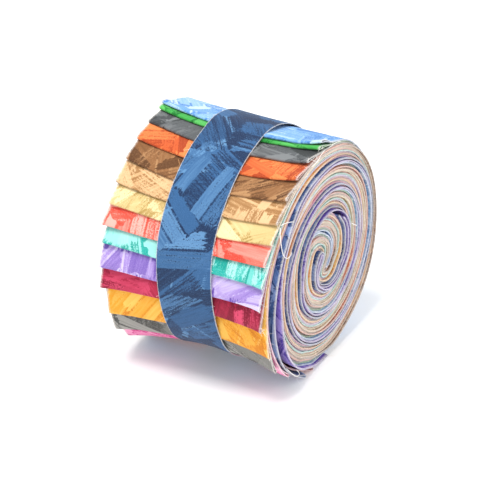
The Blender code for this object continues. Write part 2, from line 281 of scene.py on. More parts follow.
# Camera, fitted to the roll's rims and folds in the photo
CAMERA_AZIMUTH = 28.48
CAMERA_ELEVATION = 30.55
CAMERA_DISTANCE = 1870.0
CAMERA_FOCUS = 5318.0
CAMERA_ASIDE = (-10.0, 14.2)
PHOTO_SIZE = 500.0
SENSOR = 36.0


def linear(text):
    """Linear colour of a hex text."""
    values = [int(text[place:place + 2], 16) / 255.0 for place in (1, 3, 5)]
    return [v / 12.92 if v <= 0.04045 else ((v + 0.055) / 1.055) ** 2.4 for v in values]


def ease(value, low, high):
    """Smooth step from 0 at low to 1 at high."""
    share = np.clip((value - low) / (high - low), 0.0, 1.0)
    return share * share * (3.0 - 2.0 * share)


def wander(seed, place, waves):
    """A slow wandering between about -1 and 1, from waves of (pace, weight)."""
    phases = random.Random(seed)
    total = 0.0
    for pace, weight in waves:
        total = total + weight * np.sin(np.radians(place * pace) + phases.uniform(0.0, math.tau))
    return total / sum(weight for _, weight in waves)


def across(radius, angle):
    """Places across the roll at radii and angles about its axis."""
    turn = np.radians(angle)
    return np.stack([-radius * np.sin(turn), radius * np.cos(turn)], axis=-1)


def outline(angle, height=0.0):
    """Radius of the roll's outline, which lies flat at a height over the floor."""
    turn = np.radians(angle)
    radius = FOLD_RADIUS + SAG_ONCE * np.cos(turn) + SAG_THRICE * np.cos(3.0 * turn)
    drop = np.maximum(-np.cos(turn), 0.2)
    return np.minimum(radius, (AXIS_HEIGHT - height) / drop)


def layers_ended(angle):
    """How many strips have ended above an angle, with fractions between two folds."""
    folds = [STRIPS[1].fold - FOLD_SPACING * back for back in (3, 2, 1)]
    folds += [strip.fold for strip in STRIPS[1:]]
    return np.interp(angle, folds, np.arange(-1, COUNT + 1))


def turn_line(angle):
    """The line between two turns, at an angle about the spiral's centre."""
    swell = ease(angle, *SWELL_GROWS) - ease(angle, *SWELL_FADES)
    radius = SPIRAL_START + TURN_PITCH * angle / 360.0 + CORE_SWELL * swell
    return SPIRAL_CENTRE + across(radius, angle)


def polar(places):
    """Radius and angle about the roll's axis, the angle growing on past a whole turn."""
    angle = np.degrees(np.unwrap(np.arctan2(-places[:, 0], places[:, 1])))
    return np.hypot(places[:, 0], places[:, 1]), angle


def front_angle(places, last_turning):
    """Angles about the axis of places on the turn line, 0 at the top of the outer turn."""
    angle = polar(places)[1]
    whole = round((last_turning - angle[-1]) / 360.0) * 360.0
    return angle + whole - FRONT_TURNS * 360.0


def turn_radius(angle):
    """Radius about the axis of the outer turn's inner face, also past the spiral's end."""
    turning = np.arange(OUTER_TURN_FROM - OUTER_TURN_BLEND, SPIRAL_TO + 1.0)
    places = turn_line(turning)
    spiral = np.interp(angle, front_angle(places, SPIRAL_TO), polar(places)[0])
    last = FIRST_DEPTH + LAP_STEP * (COUNT - layers_ended(angle))
    last_inside = outline(angle) - last - PLY_REST - CLOTH_THICKNESS
    return spiral + (last_inside - spiral) * ease(angle, *LINE_GIVES_WAY)


def front_rungs(angle):
    """Rungs across the outer turn, at angles about the axis."""
    again = angle + 360.0
    last_fold = STRIPS[-1].fold
    under = turn_radius(again) - TURN_GAP
    rise = ease(again, last_fold - 1.0, last_fold + LAST_END_STEP)
    outer = np.where(angle < 0.0, under + (outline(angle) - under) * rise, outline(angle))
    return across(turn_radius(angle), angle), across(outer, angle)


def smooth_line(points, steps):
    """Places along a smooth curve through the given ones."""
    ends = np.array([points[0], *points, points[-1]], float)
    share = np.arange(steps)[:, None] / steps
    line = []
    for before, start, end, after in zip(ends, ends[1:], ends[2:], ends[3:]):
        cubic = (3.0 * (start - end) + after - before) * share
        square = (cubic + 2.0 * before - 5.0 * start + 4.0 * end - after) * share
        line.append(0.5 * ((square + end - before) * share + 2.0 * start))
    return np.concatenate([*line, ends[-1:]])


def core_rungs():
    """Rungs across the core, from the raw ends outward, with how far each lies in the list."""
    inner = smooth_line([rung.inner for rung in CORE], RUNG_STEPS)[::-1]
    outer = smooth_line([rung.outer for rung in CORE], RUNG_STEPS)[::-1]
    return inner, outer, (len(CORE) - 1) - np.arange(len(inner)) / RUNG_STEPS


def turn_rungs():
    """Rungs across the inner turns, with their angle about the spiral's centre."""
    turning = np.arange(SPIRAL_FROM + TURN_STEP, OUTER_TURN_FROM + 0.1, TURN_STEP)
    inner = turn_line(turning)
    outer = turn_line(turning + 360.0)
    outer -= TURN_GAP * (outer - inner) / np.linalg.norm(outer - inner, axis=1)[:, None]
    angle = front_angle(inner, OUTER_TURN_FROM)
    same = across(turn_radius(angle + 360.0) - TURN_GAP, angle)
    start = OUTER_TURN_FROM - OUTER_TURN_BLEND
    share = ease(turning, start, OUTER_TURN_FROM)[:, None]
    return inner, outer + (same - outer) * share, turning


def strip_shares(turning, evenness):
    """Each strip's share of the bundle's thickness, and where its middle lies from outside in."""
    names = [strip.name for strip in STRIPS]
    wandering = np.array([wander(name, turning, LOOSE_WAVES) for name in names])
    weights = 1.0 + LOOSENESS * (1.0 - evenness) * wandering
    weights = weights / weights.sum(axis=0)
    return weights, np.cumsum(weights, axis=0) - weights / 2.0


def shingle_depth(number, angle, room):
    """Depth of a strip's middle under the outline where the folds step down the front."""
    under = number - layers_ended(angle)
    left = np.maximum(COUNT - layers_ended(angle), 0.6)
    bend = LAP_FADE * (1.0 - np.exp(-left / LAP_FADE))
    even = (room - FIRST_DEPTH - LAST_DEPTH - LAP_STEP * bend) / (left - bend)
    even = np.minimum(even, MOST_LOOSE)
    nearby = np.where(under > 0.0, LAP_FADE * (1.0 - np.exp(-np.maximum(under, 0.0) / LAP_FADE)), under)
    return FIRST_DEPTH + even * (under - nearby) + LAP_STEP * nearby, even


Laid = namedtuple("Laid", "places outward half angle turning")


def lay_strip(number):
    """The middle line of a folded strip, from its raw ends to its fold.

    Places and their outward directions are across the roll. Half is half the distance between
    its two plies. Angle is about the axis on the outer turn, and far below zero inside it.
    """
    fold_angle = STRIPS[number - 1].fold - math.degrees(FOLD_PUFF / FOLD_RADIUS)
    core_inner, core_outer, rung = core_rungs()
    turn_inner, turn_outer, turning = turn_rungs()
    start = front_angle(turn_inner, OUTER_TURN_FROM)[-1]
    angles = np.concatenate([
        np.arange(start + TURN_STEP, SHINGLES_FROM, TURN_STEP),
        np.arange(SHINGLES_FROM, fold_angle - TIP_CLEAR, FRONT_STEP),
        [fold_angle],
    ])
    front_inner, front_outer = front_rungs(angles)
    inner = np.concatenate([core_inner, turn_inner, front_inner])
    outer = np.concatenate([core_outer, turn_outer, front_outer])
    inside = len(core_inner) + len(turn_inner)
    angle = np.concatenate([np.full(inside, -720.0), angles])
    turning = np.concatenate([SPIRAL_FROM - RUNG_TURNING * rung, turning, angles + 360.0 * FRONT_TURNS])
    rung = np.concatenate([rung, np.full(len(inner) - len(rung), 0.0)])

    room = np.linalg.norm(inner - outer, axis=1)
    outward = (outer - inner) / room[:, None]
    evenness = ease(rung, WEDGE_FROM - WEDGE_BLEND, WEDGE_FROM)
    weights, middles = strip_shares(turning, evenness)
    depth = middles[number - 1] * room
    half = weights[number - 1] * room / 4.0

    wedge = rung > WEDGE_FROM
    depth[wedge] = WEDGE_STRIP * (number - 0.5)
    half[wedge] = WEDGE_STRIP / 4.0

    stepped, spacing = shingle_depth(number, angle, room)
    share = ease(angle, SHINGLES_FROM, SHINGLES_FULL)
    depth = depth + (stepped - depth) * share
    half = half + (np.minimum(PLY_REST, spacing / 4.0) - half) * share
    to_fold = np.radians(np.maximum(fold_angle - angle, 0.0)) * FOLD_RADIUS
    half = half + (FOLD_PUFF - half) * (1.0 - ease(to_fold, 0.0, PUFF_LENGTH))

    kept = ~wedge | (WEDGE_STRIP * number <= room)
    places = outer - outward * depth[:, None]
    return Laid(places[kept], outward[kept], half[kept], angle[kept], turning[kept])


Ribbon = namedtuple("Ribbon", "places outward angle turning thickness")


def fold_ribbon(laid):
    """The ribbon's line: out along the inner ply, round the fold, and back along the outer."""
    angles = np.pi * np.arange(1, FOLD_POINTS + 1) / (FOLD_POINTS + 1)
    out = laid.outward[-1]
    ahead = across(1.0, laid.angle[-1] + 90.0)
    bend = -np.cos(angles)[:, None] * out + np.sin(angles)[:, None] * ahead
    shift = laid.outward * laid.half[:, None]
    places = [laid.places - shift, laid.places[-1] + FOLD_PUFF * bend, (laid.places + shift)[::-1]]

    along = np.gradient(laid.places, axis=0)
    along = along / np.linalg.norm(along, axis=1)[:, None]
    square = np.abs(along[:, 0] * laid.outward[:, 1] - along[:, 1] * laid.outward[:, 0])
    thickness = np.minimum(CLOTH_THICKNESS, CLOTH_FILL * 2.0 * laid.half * square)

    def there_and_back(values, at_fold):
        return np.concatenate([values, at_fold, values[::-1]])

    repeat = np.ones(FOLD_POINTS)
    return Ribbon(
        np.concatenate(places),
        there_and_back(laid.outward, repeat[:, None] * out),
        there_and_back(laid.angle, repeat * laid.angle[-1]),
        there_and_back(laid.turning, repeat * laid.turning[-1]),
        there_and_back(thickness, repeat * thickness[-1]),
    )


def band_centre(angle):
    """How far along X the middle of the band lies: it runs askew under the roll."""
    around = np.mod(angle, 360.0)
    out = ease(around, *BAND_DRIFTS_OUT)
    home = ease(around, *BAND_DRIFTS_HOME)
    return BAND_CENTRE_TOP + BAND_DRIFT * (out - home)


def band_cover(along, angle, margin):
    """1 where the band covers the roll, fading to 0 over a margin beside it."""
    return 1.0 - ease(np.abs(along - band_centre(angle)), BAND_WIDTH / 2.0, BAND_WIDTH / 2.0 + margin)


def wrapped(angle):
    """The same angle between -180 and 180."""
    return np.mod(angle + 180.0, 360.0) - 180.0


def near_band(along, angle):
    """1 at the middle of the band, falling to 0 at the ends of the roll."""
    away = np.abs(along - band_centre(angle)) / DRAW_ACROSS
    return np.maximum(1.0 - away ** DRAW_POWER, 0.0)


def squeeze(along, angle):
    """How far the band squeezes the outline in, which it doesn't do on the flat it rests on."""
    around = wrapped(angle)[..., None] + SQUEEZE_SMOOTHING
    angles = [row.angle for row in SQUEEZES]
    depths = [row.depth for row in SQUEEZES]
    return np.interp(wrapped(around), angles, depths).mean(axis=-1) * near_band(along, angle)


def lay_on_roll(number, ribbon):
    """Points of a strip's cloth, one row for each place of its ribbon, in metres."""
    strip = STRIPS[number - 1]
    half_width = STRIP_WIDTH / 2.0
    level = ease(ribbon.angle - strip.fold, *RIMS_LEVEL)
    drift = DRIFT * wander(strip.name + " drift", ribbon.turning, DRIFT_WAVES) + strip.rim
    drift = strip.shift * level + drift * (1.0 - level)
    for reach in REACHES:
        if reach.strip == number:
            grows = ease(ribbon.angle, reach.start, reach.full)
            drift = drift + reach.out * grows * (1.0 - ease(ribbon.angle, reach.stop, reach.gone))
    along = half_width * COLUMNS[None, :] + drift[:, None]
    angle = np.broadcast_to(ribbon.angle[:, None], along.shape)
    on_outer_turn = angle > -400.0

    radius = np.hypot(ribbon.places[:, 0], ribbon.places[:, 1])[:, None]
    depth = np.maximum(outline(angle) - radius, 0.0)
    clearance = (BAND_THICKNESS + TURN_GAP) * band_cover(along, angle, 3.0)
    pressed = np.maximum(outline(angle) - outline(angle, clearance), 0.0) * np.exp(-depth / PRESS_DEPTH)
    squeezed = squeeze(along, angle) * np.exp(-depth / SQUEEZE_DEPTH)

    lapped = STRIPS[max(number - 2, 0)].fold - (FOLD_SPACING if number < 3 else 0.0)
    shown = ease(angle, lapped, strip.fold)
    near = np.maximum(COLUMNS - 1.0 + SOFT_RIM / half_width, 0.0) * half_width / SOFT_RIM
    far = np.maximum(-COLUMNS - 1.0 + SOFT_RIM / half_width, 0.0) * half_width / SOFT_RIM
    flare = (strip.near_flare * near ** 2 + strip.far_flare * far ** 2)[None, :] * shown
    swell = wander(strip.name + " ruffle", along * 14.0 + angle * 3.0, ((0.7, 1.0), (1.9, 0.8)))
    ruffle = RUFFLE * swell * shown
    lift = np.where(on_outer_turn, flare + ruffle - pressed - squeezed, 0.0)
    points = ribbon.places[:, None, :] + ribbon.outward[:, None, :] * lift[..., None]

    skew = wander(strip.name + " skew", along * 6.0, ((0.3, 1.0), (1.1, 0.6)))
    slip = SLIP * skew * ease(angle, strip.fold - FOLD_SPACING, strip.fold)
    drawn = DRAW * (1.0 - ease(angle, *DRAW_FADES)) * ease(angle, *DRAW_FROM) * near_band(along, angle)
    points = turned(points, drawn + np.degrees(slip / FOLD_RADIUS))
    points = keep_off_floor(points, clearance + CLOTH_THICKNESS / 2.0)
    return np.dstack([along, points[..., 0], points[..., 1] + AXIS_HEIGHT]) * MM


def turned(places, angle):
    """Places turned about the roll's axis, down the front."""
    turn = np.radians(angle)
    y, z = places[..., 0], places[..., 1]
    return np.stack([y * np.cos(turn) - z * np.sin(turn), y * np.sin(turn) + z * np.cos(turn)], axis=-1)


def keep_off_floor(points, height):
    """The same places, with none lower than a height over the floor."""
    points[..., 1] = np.maximum(points[..., 1], height - AXIS_HEIGHT)
    return points


def lay_flat(name, rows, columns):
    """A flat, rectangular piece of cloth, as a grid with its corners numbered row by row."""
    bpy.ops.object.select_all(action="DESELECT")
    bpy.ops.mesh.primitive_grid_add(x_subdivisions=columns - 1, y_subdivisions=rows - 1, size=1.0)
    cloth = bpy.context.object
    cloth.name = name
    cloth.data.name = name
    return cloth


def thicken(cloth, points, thickness, flat):
    """Move a flat cloth's corners into place, thicken it, and keep its flat sizes as a UV map.

    The map's units are metres on the flat cloth, along it and across it. The face toward the
    normals is the printed side.
    """
    count = len(cloth.data.vertices)
    cloth.data.vertices.foreach_set("co", points.astype(np.float32).ravel())
    group = cloth.vertex_groups.new(name="thickness")
    greatest = float(thickness.max())
    for number, share in enumerate(thickness.ravel() / greatest):
        group.add([number], float(share), "REPLACE")
    solidify = cloth.modifiers.new("cloth thickness", "SOLIDIFY")
    solidify.thickness = greatest * MM
    solidify.offset = 0.0
    solidify.vertex_group = group.name
    solidify.material_offset = 1
    solidify.material_offset_rim = 2
    bpy.ops.object.modifier_apply(modifier=solidify.name)
    cloth.vertex_groups.clear()

    mesh = cloth.data
    corners = np.zeros(len(mesh.loops), np.int32)
    mesh.loops.foreach_get("vertex_index", corners)
    layer = mesh.uv_layers[0]
    layer.name = "flat cloth"
    layer.uv.foreach_set("vector", flat[corners % count].astype(np.float32).ravel())
    side = mesh.attributes.new("print side", "FLOAT", "POINT")
    side.data.foreach_set("value", (np.arange(len(mesh.vertices)) < count).astype(np.float32))
    bpy.ops.object.shade_smooth_by_angle(angle=math.radians(50.0))
    return cloth


def flat_sizes(points):
    """Each corner's place on the flat cloth in metres, and the cloth's length."""
    middle = points[:, points.shape[1] // 2, :]
    steps = np.linalg.norm(np.diff(middle, axis=0), axis=1)
    along = np.concatenate([[0.0], np.cumsum(steps)])
    side = points[:, :, 0] - points[:, :1, 0]
    flat = np.dstack([np.broadcast_to(along[:, None], side.shape), side])
    return flat.reshape(-1, 2), float(along[-1])


def add_node(tree, kind, **settings):
    """A new node with its settings."""
    made = tree.nodes.new(kind)
    for name, value in settings.items():
        setattr(made, name, value)
    return made


def feed(tree, node, **values):
    """Fill a node's sockets, named with _ for spaces, from outputs or constants."""
    for name, value in values.items():
        socket = node.inputs[name.replace("_", " ")]
        if isinstance(value, bpy.types.NodeSocket):
            tree.links.new(value, socket)
        else:
            socket.default_value = value
    return node


def calc(tree, operation, *values, clamp=False):
    """The output of a Math node."""
    made = add_node(tree, "ShaderNodeMath", operation=operation, use_clamp=clamp)
    for socket, value in zip(made.inputs, values):
        if isinstance(value, bpy.types.NodeSocket):
            tree.links.new(value, socket)
        else:
            socket.default_value = value
    return made.outputs[0]


def vector_calc(tree, operation, *values):
    """The output of a Vector Math node; a constant is a vector."""
    made = add_node(tree, "ShaderNodeVectorMath", operation=operation)
    for socket, value in zip(made.inputs, values):
        if isinstance(value, bpy.types.NodeSocket):
            tree.links.new(value, socket)
        else:
            socket.default_value = value
    return made.outputs[0]


def scaled(tree, vector, factor):
    """A vector times a number."""
    made = add_node(tree, "ShaderNodeVectorMath", operation="SCALE")
    feed(tree, made, Vector=vector, Scale=factor)
    return made.outputs[0]


def step_up(tree, value, low, high):
    """Smooth step from 0 at low to 1 at high, as a node."""
    made = add_node(tree, "ShaderNodeMapRange", interpolation_type="SMOOTHSTEP")
    feed(tree, made, Value=value, From_Min=low, From_Max=high)
    return made.outputs["Result"]


def mix_colour(tree, share, first, second):
    """A colour between two."""
    made = add_node(tree, "ShaderNodeMix", data_type="RGBA")
    for socket, value in ((made.inputs[0], share), (made.inputs[6], first), (made.inputs[7], second)):
        if isinstance(value, bpy.types.NodeSocket):
            tree.links.new(value, socket)
        else:
            socket.default_value = value
    return made.outputs[2]


def noise_value(tree, vector, scale, detail=2.0, roughness=0.5):
    """A flat noise between 0 and 1."""
    made = add_node(tree, "ShaderNodeTexNoise", noise_dimensions="2D")
    feed(tree, made, Vector=vector, Scale=scale, Detail=detail, Roughness=roughness)
    return made.outputs["Fac"]


def new_group(name, inputs, outputs):
    """An empty node group with its sockets, and its input and output nodes."""
    group = bpy.data.node_groups.new(name, "ShaderNodeTree")
    for label, kind in inputs:
        group.interface.new_socket(label, in_out="INPUT", socket_type=kind)
    for label, kind in outputs:
        group.interface.new_socket(label, in_out="OUTPUT", socket_type=kind)
    return group, group.nodes.new("NodeGroupInput"), group.nodes.new("NodeGroupOutput")


def stroke_group():
    """Node group: one coat of dry brush strokes, in patches that each run their own way.

    Cover is where the coat lies, and Tone how dark it is there.
    """
    group, given, made = new_group(
        "dry brush strokes",
        [("Place", "NodeSocketVector"), ("Patch", "NodeSocketFloat"), ("Width", "NodeSocketFloat"),
         ("Dryness", "NodeSocketFloat")],
        [("Tone", "NodeSocketFloat"), ("Cover", "NodeSocketFloat")],
    )
    place, patch, width = (given.outputs[name] for name in ("Place", "Patch", "Width"))

    # Each patch is a cell whose random colour turns its strokes. Its border is a little uneven
    unsteady = add_node(group, "ShaderNodeTexNoise", noise_dimensions="2D")
    feed(group, unsteady, Vector=place, Scale=0.45, Detail=1.0)
    shaken = vector_calc(group, "SUBTRACT", unsteady.outputs["Color"], (0.5, 0.5, 0.5))
    shaken = vector_calc(group, "ADD", place, scaled(group, shaken, 3.0))
    per_patch = calc(group, "DIVIDE", 1.0, patch)
    cells = add_node(group, "ShaderNodeTexVoronoi", voronoi_dimensions="2D", feature="F1")
    feed(group, cells, Vector=scaled(group, shaken, per_patch), Scale=1.0, Randomness=0.9)
    chance = add_node(group, "ShaderNodeSeparateColor")
    feed(group, chance, Color=cells.outputs["Color"])
    from_middle = vector_calc(group, "SUBTRACT", scaled(group, place, per_patch), cells.outputs["Position"])
    turned_place = add_node(group, "ShaderNodeVectorRotate", rotation_type="Z_AXIS")
    feed(group, turned_place, Vector=scaled(group, from_middle, patch),
         Angle=calc(group, "MULTIPLY", chance.outputs[0], math.pi))
    split = add_node(group, "ShaderNodeSeparateXYZ")
    feed(group, split, Vector=turned_place.outputs[0])
    sideways, lengthways = split.outputs[0], split.outputs[1]

    # Strokes lie side by side in a patch, each with its own tone, reach and dryness
    swayed = calc(group, "MULTIPLY_ADD", lengthways, 0.03, sideways)
    broad = calc(group, "MULTIPLY", width, calc(group, "MULTIPLY_ADD", chance.outputs[2], 0.6, 0.7))
    lane = calc(group, "ADD", calc(group, "DIVIDE", swayed, broad), chance.outputs[1])
    dice = add_node(group, "ShaderNodeTexWhiteNoise", noise_dimensions="2D")
    pair = add_node(group, "ShaderNodeCombineXYZ")
    feed(group, pair, X=calc(group, "FLOOR", lane), Y=calc(group, "MULTIPLY", chance.outputs[2], 91.0))
    feed(group, dice, Vector=pair.outputs[0])
    rolled = add_node(group, "ShaderNodeSeparateColor")
    feed(group, rolled, Color=dice.outputs["Color"])

    # Bristle marks run along the stroke
    bristles = add_node(group, "ShaderNodeCombineXYZ")
    feed(group, bristles, X=calc(group, "MULTIPLY", swayed, 1.15),
         Y=calc(group, "MULTIPLY", lengthways, 0.08), Z=calc(group, "MULTIPLY", chance.outputs[1], 50.0))
    streak = noise_value(group, bristles.outputs[0], 1.0, 3.0, 0.6)
    ragged = calc(group, "SUBTRACT", streak, 0.5)
    grain = calc(group, "SUBTRACT", noise_value(group, place, 1.9, 3.0, 0.75), 0.5)

    # A stroke ends where its reach does, bristle by bristle
    reach = calc(group, "MULTIPLY_ADD", rolled.outputs[1], 0.3, 0.3)
    to_end = calc(group, "SUBTRACT", calc(group, "MULTIPLY", reach, patch),
                  calc(group, "ABSOLUTE", lengthways))
    to_end = calc(group, "MULTIPLY_ADD", ragged, 6.0, to_end)
    to_end = calc(group, "MULTIPLY_ADD", grain, 1.5, to_end)
    off_lane = calc(group, "ABSOLUTE", calc(group, "SUBTRACT", calc(group, "FRACT", lane), 0.5))
    to_side = calc(group, "MULTIPLY", calc(group, "SUBTRACT", 0.46, off_lane), broad)
    to_side = calc(group, "MULTIPLY_ADD", grain, 0.9, to_side)
    within = calc(group, "MULTIPLY", step_up(group, to_end, 0.0, 0.7), step_up(group, to_side, 0.0, 0.35))

    # A dry brush leaves its ink in streaks and grains
    thirst = calc(group, "MULTIPLY", rolled.outputs[2], given.outputs["Dryness"])
    ink = calc(group, "MULTIPLY_ADD", grain, 1.0, calc(group, "MULTIPLY_ADD", ragged, 1.1, 0.62))
    inked = step_up(group, calc(group, "SUBTRACT", ink, thirst), 0.0, 0.3)
    tone = calc(group, "MULTIPLY_ADD", ragged, 0.9, rolled.outputs[0])
    feed(group, made, Tone=tone, Cover=calc(group, "MULTIPLY", within, inked))
    return group


def print_group(strokes):
    """Node group: the brushed print in three tones, from the place on the flat cloth."""
    group, given, made = new_group(
        "brushed print",
        [("Place", "NodeSocketVector"), ("Pale", "NodeSocketColor"), ("Main", "NodeSocketColor"),
         ("Deep", "NodeSocketColor"), ("Size", "NodeSocketFloat"), ("Darkness", "NodeSocketFloat")],
        [("Color", "NodeSocketColor")],
    )
    place, size = given.outputs["Place"], given.outputs["Size"]
    pale, main, deep = (given.outputs[name] for name in ("Pale", "Main", "Deep"))
    colour = mix_colour(group, 0.25, pale, main)

    # Coats: patch size and stroke width in millimetres, dryness, tone that it starts from and
    # how far it reaches, 0 for pale, 0.5 for main and 1 for deep, and its offset
    coats = (
        (34.0, 9.0, 0.3, 0.05, 0.65, (13.0, 5.0, 0.0)),
        (27.0, 6.5, 0.45, 0.25, 0.6, (137.0, 71.0, 0.0)),
        (24.0, 6.0, 0.6, 0.65, 0.45, (91.0, 223.0, 0.0)),
        (19.0, 5.0, 1.0, -0.1, 0.5, (291.0, 23.0, 0.0)),
    )
    for patch, width, dryness, base, span, offset in coats:
        coat = group.nodes.new("ShaderNodeGroup")
        coat.node_tree = strokes
        feed(group, coat, Place=vector_calc(group, "ADD", place, offset),
             Patch=calc(group, "MULTIPLY", size, patch), Width=calc(group, "MULTIPLY", size, width),
             Dryness=dryness)
        tone = calc(group, "MULTIPLY_ADD", coat.outputs["Tone"], span, base)
        tone = calc(group, "ADD", tone, given.outputs["Darkness"])
        shade = mix_colour(group, step_up(group, tone, 0.0, 0.5), pale, main)
        shade = mix_colour(group, step_up(group, tone, 0.5, 1.0), shade, deep)
        colour = mix_colour(group, coat.outputs["Cover"], colour, shade)

    # Ink sits unevenly on the threads
    speck = noise_value(group, place, 2.6, 2.0, 0.8)
    lighter = calc(group, "MULTIPLY", step_up(group, speck, 0.5, 0.72), 0.22)
    feed(group, made, Color=mix_colour(group, lighter, colour, pale))
    return group


def weave_group():
    """Node group: the height of a plain weave, from the place on the flat cloth."""
    group, given, made = new_group(
        "plain weave", [("Place", "NodeSocketVector")], [("Height", "NodeSocketFloat")]
    )
    place = given.outputs["Place"]
    split = add_node(group, "ShaderNodeSeparateXYZ")
    feed(group, split, Vector=scaled(group, place, math.pi / 0.36))
    warp = calc(group, "SINE", split.outputs[0])
    weft = calc(group, "SINE", split.outputs[1])
    threads = calc(group, "MULTIPLY", warp, weft)
    slubs = noise_value(group, place, 1.4, 2.0, 0.6)
    feed(group, made, Height=calc(group, "MULTIPLY_ADD", slubs, 1.6, calc(group, "ABSOLUTE", threads)))
    return group


def shared_groups():
    """The node groups that every cloth material uses."""
    names = ("brushed print", "plain weave")
    if names[0] not in bpy.data.node_groups:
        print_group(stroke_group())
        weave_group()
    return [bpy.data.node_groups[name] for name in names]


def cloth_material(name, roughness, sheen):
    """An empty cloth material: its tree, its shader and the place on the flat cloth in mm."""
    material = bpy.data.materials.new(name)
    material.use_nodes = True
    tree = material.node_tree
    shader = tree.nodes["Principled BSDF"]
    feed(tree, shader, Roughness=roughness, Sheen_Weight=sheen, Sheen_Roughness=0.6)
    shader.inputs["Specular IOR Level"].default_value = 0.15
    flat = add_node(tree, "ShaderNodeUVMap", uv_map="flat cloth")
    return material, tree, shader, scaled(tree, flat.outputs[0], 1.0 / MM)


def brushed(tree, place, palette, seed, size, darkness):
    """The brushed print's colour, its pattern moved by a seed."""
    group, _ = shared_groups()
    picked = random.Random(seed)
    offset = (picked.uniform(0.0, 900.0), picked.uniform(0.0, 900.0), 0.0)
    coat = tree.nodes.new("ShaderNodeGroup")
    coat.node_tree = group
    pale, main, deep = ((*linear(text), 1.0) for text in palette)
    feed(tree, coat, Place=vector_calc(tree, "ADD", place, offset), Pale=pale, Main=main,
         Deep=deep, Size=size, Darkness=darkness)
    return coat.outputs["Color"]


def add_weave(tree, shader, place, strength):
    """Raise the weave on a cloth's shader."""
    weave = tree.nodes.new("ShaderNodeGroup")
    weave.node_tree = shared_groups()[1]
    feed(tree, weave, Place=place)
    bump = add_node(tree, "ShaderNodeBump")
    feed(tree, bump, Height=weave.outputs["Height"], Strength=strength, Distance=0.06 * MM)
    feed(tree, shader, Normal=bump.outputs[0])


def rim_share(tree, place, width, reach):
    """1 at a cloth's two long raw edges, fading to 0 over a reach in millimetres."""
    split = add_node(tree, "ShaderNodeSeparateXYZ")
    feed(tree, split, Vector=place)
    middle = calc(tree, "ABSOLUTE", calc(tree, "SUBTRACT", split.outputs[1], width / 2.0))
    ragged = calc(tree, "MULTIPLY_ADD", noise_value(tree, place, 1.5, 2.0, 0.7), 1.6 * reach, middle)
    return step_up(tree, ragged, width / 2.0 - 0.3 * reach, width / 2.0 + 0.9 * reach)


def cloth_materials(name, palette, width, size, darkness=0.0, fray=STRIP_FRAY):
    """A printed cloth's three materials: printed side, wrong side and raw edge."""
    pale_thread = (*linear(PALE_THREAD), 1.0)
    label = name.replace("_", " ")

    front, tree, shader, place = cloth_material(label + " print", 0.88, 0.1)
    colour = brushed(tree, place, palette, name, size, darkness)
    frayed = calc(tree, "MULTIPLY", rim_share(tree, place, width, fray), 0.6)
    feed(tree, shader, Base_Color=mix_colour(tree, frayed, colour, pale_thread))
    add_weave(tree, shader, place, 0.55)

    back, tree, shader, place = cloth_material(label + " wrong side", 0.92, 0.1)
    colour = brushed(tree, place, palette, name, size, darkness)
    feed(tree, shader, Base_Color=mix_colour(tree, WRONG_SIDE_PALE, colour, pale_thread))
    add_weave(tree, shader, place, 0.6)

    edge, tree, shader, place = cloth_material(label + " raw edge", 0.95, 0.1)
    colour = brushed(tree, place, palette, name, size, darkness)
    side = add_node(tree, "ShaderNodeAttribute", attribute_name="print side")
    fibres = noise_value(tree, place, 2.2, 3.0, 0.8)
    soaked = calc(tree, "MULTIPLY_ADD", fibres, 0.9, side.outputs["Fac"])
    inked = calc(tree, "MULTIPLY_ADD", step_up(tree, soaked, 0.6, 1.3), 0.55, 0.4)
    feed(tree, shader, Base_Color=mix_colour(tree, inked, pale_thread, colour))
    return front, back, edge


def dress(cloth, materials, nodes):
    """Give a finished cloth its materials, hang it from the root body's empty, and hide the parts of the
    solids that it replaces.
    """
    for material in materials:
        cloth.data.materials.append(material)
    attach(cloth, BODY)
    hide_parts(*nodes)


def wind_strip(number, width, size):
    """Lay, fold and wind one strip."""
    strip = STRIPS[number - 1]
    ribbon, points = strip_points(number)
    flat, length = flat_sizes(points)
    thickness = np.broadcast_to(ribbon.thickness[:, None], points.shape[:2])
    cloth = lay_flat(strip.name + "_strip", len(points), len(COLUMNS))
    thicken(cloth, points, thickness, flat)
    palette = (strip.pale, strip.main, strip.deep)
    materials = cloth_materials(strip.name, palette, width, size)
    nodes = [f"strip_end_{number:02d}"]
    if number == 1:
        nodes.append("wound_roll")
    dress(cloth, materials, nodes)
    return cloth


def tie_band_points():
    """Points of the tie band, one row for each angle round the roll, in metres."""
    last = BAND_LAP_END + 360.0
    count = round((last - BAND_LAP_START) / BAND_STEP)
    turning = np.linspace(BAND_LAP_START, last, count + 1)
    angle = np.mod(turning + 180.0, 360.0) - 180.0
    lap = BAND_LAP_START + 360.0
    rise = BAND_LAP_LIFT * ease(turning, lap - BAND_LAP_RISE[0], lap - BAND_LAP_RISE[1])
    reach = np.where(angle < BAND_BUMP_ANGLE, *BAND_BUMP_REACH)
    bump = BAND_BUMP * (1.0 - ease(np.abs(angle - BAND_BUMP_ANGLE), 0.0, reach))
    radius = outline(angle) + BAND_LIFT + bump + rise
    along = band_centre(turning)[:, None] + BAND_WIDTH / 2.0 * BAND_COLUMNS[None, :]
    curl = 0.14 * wander("band curl", turning * 1.0, ((1.3, 1.0), (3.7, 0.8)))
    lift = curl[:, None] * BAND_COLUMNS[None, :] ** 2 - squeeze(along, turning[:, None])
    places = across(radius[:, None] + lift, np.broadcast_to(turning[:, None], along.shape))
    resting = BAND_THICKNESS / 2.0 + rise[:, None]
    places = keep_off_floor(places, np.broadcast_to(resting, along.shape))
    return np.dstack([along, places[..., 0], places[..., 1] + AXIS_HEIGHT])[::-1] * MM


def strip_points(number):
    """A strip's ribbon and the points of its cloth."""
    ribbon = fold_ribbon(lay_strip(number))
    return ribbon, lay_on_roll(number, ribbon)


